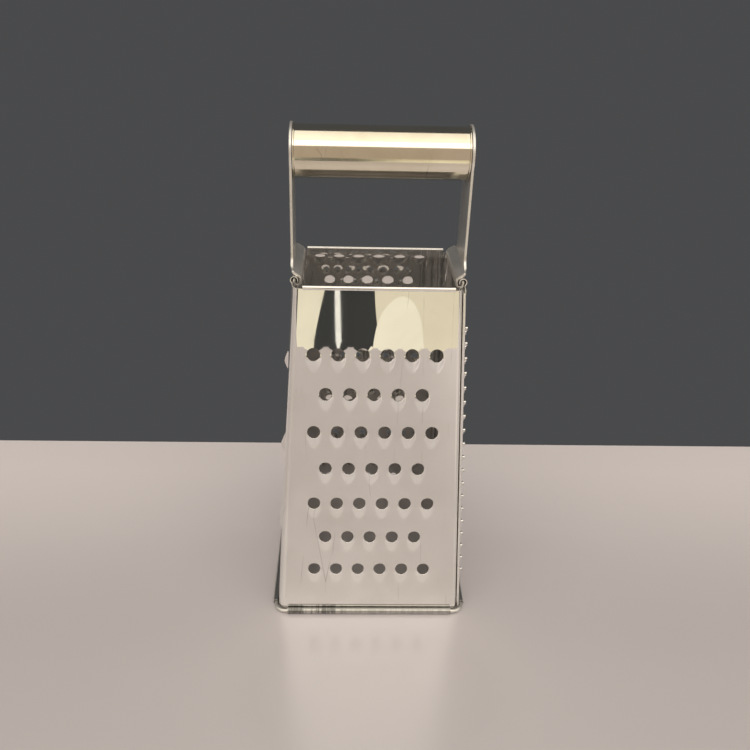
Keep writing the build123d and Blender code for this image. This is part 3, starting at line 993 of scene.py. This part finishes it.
sheetLook = {
    "colour": (0.95, 0.94, 0.92), "smearColour": (0.88, 0.865, 0.84), "scratchColour": (0.45, 0.43, 0.41),
    "metallic": 0.975, "roughness": 0.004, "smearRoughness": 0.03, "smearScale": 34.0,
    "scratchTurn": (0.0, 0.35, 0.0), "scratchScale": 70.0, "scratchWidth": 0.006,
    "streakScale": 160.0, "streakStretch": (1.0, 1.0, 0.15), "streakRoughness": 0.006, "streakHeight": 0.0006,
    "waveScale": 22.0, "waveStretch": (1.0, 1.0, 0.6), "waveHeight": 0.36,
    "rimMetallic": 0.78, "rimBand": (165.0, 166.5), "footTop": 3.2, "footCrease": 2.9, "footRoughness": 0.3,
    # the mark colour also paints shade in the foot crease
    "footColour": (0.56, 0.55, 0.53), "markAndCreaseShadeColour": (0.03, 0.03, 0.028),
}
rearLook = {**sheetLook, "bow": {"top": 165.5, "soft": 0.6, "slope": 0.0515, "reach": 40.0}}
strapLook = {
    "colour": (0.86, 0.845, 0.82), "smearColour": (0.74, 0.72, 0.69), "scratchColour": (0.40, 0.38, 0.36),
    "metallic": 0.74, "roughness": 0.28, "smearRoughness": 0.34, "smearScale": 60.0,
    "scratchTurn": (0.3, 0.0, 0.0), "scratchScale": 110.0, "scratchWidth": 0.01,
    "streakScale": 260.0, "streakStretch": (1.0, 1.0, 0.08), "streakRoughness": 0.08, "streakHeight": 0.004,
    "waveScale": 30.0, "waveStretch": (1.0, 1.0, 1.0), "waveHeight": 0.08,
}
gripLook = {
    "colour": (0.88, 0.815, 0.68), "smearColour": (0.81, 0.735, 0.59), "scratchColour": (0.50, 0.45, 0.38),
    "metallic": 1.0, "roughness": 0.06, "smearRoughness": 0.11, "smearScale": 70.0,
    "scratchTurn": (0.0, 1.45, 0.0), "scratchScale": 120.0, "scratchWidth": 0.008,
    "streakScale": 420.0, "streakStretch": (0.03, 1.0, 1.0), "streakRoughness": 0.06, "streakHeight": 0.004,
    "waveScale": 26.0, "waveStretch": (0.4, 1.0, 1.0), "waveHeight": 0.09,
}


def paint(piece, material):
    piece.data.materials.clear()
    piece.data.materials.append(material)


strapSteel = steel("strapSteel", strapLook)
finishes = {
    "front_left_sheet": steel("polishedSheet", sheetLook),
    "rear_right_sheet": steel("bowedSheet", rearLook),
    "grip_tube": steel("satinGrip", gripLook),
}
for node, piece in pieces.items():
    paint(piece, finishes.get(node, strapSteel))
    paint(frame["nodes"][node], finishes.get(node, strapSteel))

print("stage: pale table, dark surroundings, soft lights")
stage = {
    "tableFront": -0.405,
    "tableBack": 0.118,
    "tableHalf": 1.6,
    "tableColour": (0.635, 0.60, 0.625),
    "tableBackLight": 0.42,      # painted light: how much paler the table is painted at its back edge
    "backLightFromTo": (-0.06, 0.12),
    # the table's tone at its front, the shaded end of the painted light
    "tableDark": 0.97,
    "mottle": 0.15,
    "tableRoughness": 0.25,
    "tableGloss": 0.85,
    # painted shade on the table before the grater, and painted light far out on the right
    "shade": {"middle": (0.0, -0.080), "size": (0.075, 0.055), "share": -0.42},
    "sideLight": {"from": (0.04, -0.10), "to": (0.12, -0.22), "share": 0.9},
    "roomFront": (0.45, 0.37, 0.29),
    "roomBack": (0.068, 0.069, 0.071),
    "cardPlace": -0.75,
    "cardTop": 0.02,
    "cardBottom": -0.45,
    "darkCard": (0.028, 0.030, 0.029),
    # left and right edge of each pale band, at the card's top and bottom, and its colour
    "paleBands": [
        ((-0.50, -0.50, -0.026, -0.102), (0.84, 0.76, 0.56)),
        ((-0.0247, -0.0057, -0.0177, -0.0006), (0.98, 0.94, 0.82)),
        ((0.0234, 0.0901, 0.60, 0.60), (0.76, 0.67, 0.48)),
    ],
    "ovalCard": {"middle": (0.066, -0.168), "size": (0.035, 0.118), "colour": (0.90, 0.82, 0.62), "steps": 40},
}


def flatStage(name, corners, faces):
    mesh = bpy.data.meshes.new(name)
    mesh.from_pydata(corners, [], faces)
    piece = bpy.data.objects.new(name, mesh)
    scene.collection.objects.link(piece)
    return piece


# A glossy pale table, with painted shade before the grater and painted light behind it and far out on the right
def paleTable():
    material = bpy.data.materials.new("paleTable")
    material.use_nodes = True
    tree = material.node_tree
    shader = tree.nodes["Principled BSDF"]
    shader.inputs["Roughness"].default_value = stage["tableRoughness"]
    shader.inputs["Specular IOR Level"].default_value = stage["tableGloss"]
    place = addNode(tree, "ShaderNodeTexCoord").outputs["Object"]
    axes = axesOf(tree, place)
    shade, side = stage["shade"], stage["sideLight"]
    around = mapped(tree, place, "TEXTURE", Location=(*shade["middle"], 0), Scale=(*shade["size"], 1))
    distance = addNode(tree, "ShaderNodeVectorMath", {"Vector": around}, operation="LENGTH").outputs["Value"]
    paintedShadePatch = ranged(tree, distance, 0.0, 1.0, shade["share"], 0.0, "SMOOTHSTEP")
    corner = mathNode(tree, "MULTIPLY", *[ranged(tree, axes[axis], start, end, way="SMOOTHSTEP")
                                          for axis, start, end in zip("XY", side["from"], side["to"])])
    # painted light towards the back, with the random mottle, the painted shade patch and the painted side light
    # added in
    pale = ranged(tree, axes["Y"], *stage["backLightFromTo"], way="SMOOTHSTEP")
    mottle = noiseOf(tree, place, 6.0, 4.0)
    for value, share in ((mottle, stage["mottle"]), (paintedShadePatch, 1.0), (corner, side["share"])):
        pale = mathNode(tree, "MULTIPLY_ADD", value, share, pale)
    tones = [[c * share for c in stage["tableColour"]] for share in (stage["tableDark"], 1 + stage["tableBackLight"])]
    setInput(tree, shader.inputs["Base Color"], mixed(tree, pale, *tones))
    return material


half, near, far = stage["tableHalf"], stage["tableFront"], stage["tableBack"]
table = flatStage("table", [(-half, near, 0), (half, near, 0), (half, far, 0), (-half, far, 0)], [(0, 1, 2, 3)])
paint(table, paleTable())


def glow(name, colour):
    material = bpy.data.materials.new(name)
    material.use_nodes = True
    tree = material.node_tree
    tree.nodes.remove(tree.nodes["Principled BSDF"])
    light = addNode(tree, "ShaderNodeEmission", {"Color": colour})
    tree.links.new(light.outputs[0], tree.nodes["Material Output"].inputs["Surface"])
    return material


def card(name, y, outline, colour):
    piece = flatStage(name, [(x, y, z) for x, z in outline], [tuple(range(len(outline)))])
    paint(piece, glow(name + "Colour", colour))
    piece.visible_camera = False
    piece.visible_shadow = False


def band(topLeft, bottomLeft, topRight, bottomRight):
    top, bottom = stage["cardTop"], stage["cardBottom"]
    return [(bottomLeft, bottom), (bottomRight, bottom), (topRight, top), (topLeft, top)]


card("darkCard", stage["cardPlace"] - 0.02, band(-0.9, -0.9, 0.9, 0.9), stage["darkCard"])
for number, (edges, colour) in enumerate(stage["paleBands"]):
    card(f"paleCard{number}", stage["cardPlace"], band(*edges), colour)
oval = stage["ovalCard"]
card("ovalCard", stage["cardPlace"] + 0.01,
     [(oval["middle"][0] + oval["size"][0] * math.cos(math.tau * i / oval["steps"]),
       oval["middle"][1] + oval["size"][1] * math.sin(math.tau * i / oval["steps"]))
      for i in range(oval["steps"])], oval["colour"])

world = bpy.data.worlds.new("room")
scene.world = world
world.use_nodes = True
tree = world.node_tree
heading = axesOf(tree, addNode(tree, "ShaderNodeTexCoord").outputs["Generated"])["Y"]
room = mixed(tree, ranged(tree, heading, -0.6, 0.25, way="SMOOTHSTEP"), stage["roomFront"], stage["roomBack"])
setInput(tree, tree.nodes["Background"].inputs["Color"], room)

lights = {
    "ceiling": {"place": (0.0, -0.24, 1.5), "size": (4.4, 1.18), "glow": 1.05, "colour": (1.0, 0.93, 0.80)},
    "window": {"place": (0.0, -1.33, 1.5), "size": (4.4, 1.0), "glow": 1.6, "colour": (1.0, 0.97, 0.90)},
}
for name, values in lights.items():
    lamp = bpy.data.lights.new(name, "AREA")
    lamp.shape = "RECTANGLE"
    lamp.size, lamp.size_y = values["size"]
    lamp.energy = values["glow"] * math.pi * lamp.size * lamp.size_y
    lamp.color = values["colour"]
    holder = bpy.data.objects.new(name, lamp)
    holder.location = values["place"]
    scene.collection.objects.link(holder)

view = {
    "place": (-0.01547, -0.32684, 0.29294),
    "turn": (62.599, -1.361, -1.182),
    "lens": 38.316,
    "shift": (0.0147, -0.0198),
}
camera = bpy.data.objects.new("camera", bpy.data.cameras.new("camera"))
camera.location = view["place"]
camera.rotation_euler = [math.radians(a) for a in view["turn"]]
camera.data.lens = view["lens"]
camera.data.shift_x, camera.data.shift_y = view["shift"]
camera.data.clip_start = 0.01
scene.collection.objects.link(camera)
scene.camera = camera
scene.view_settings.view_transform = "Standard"
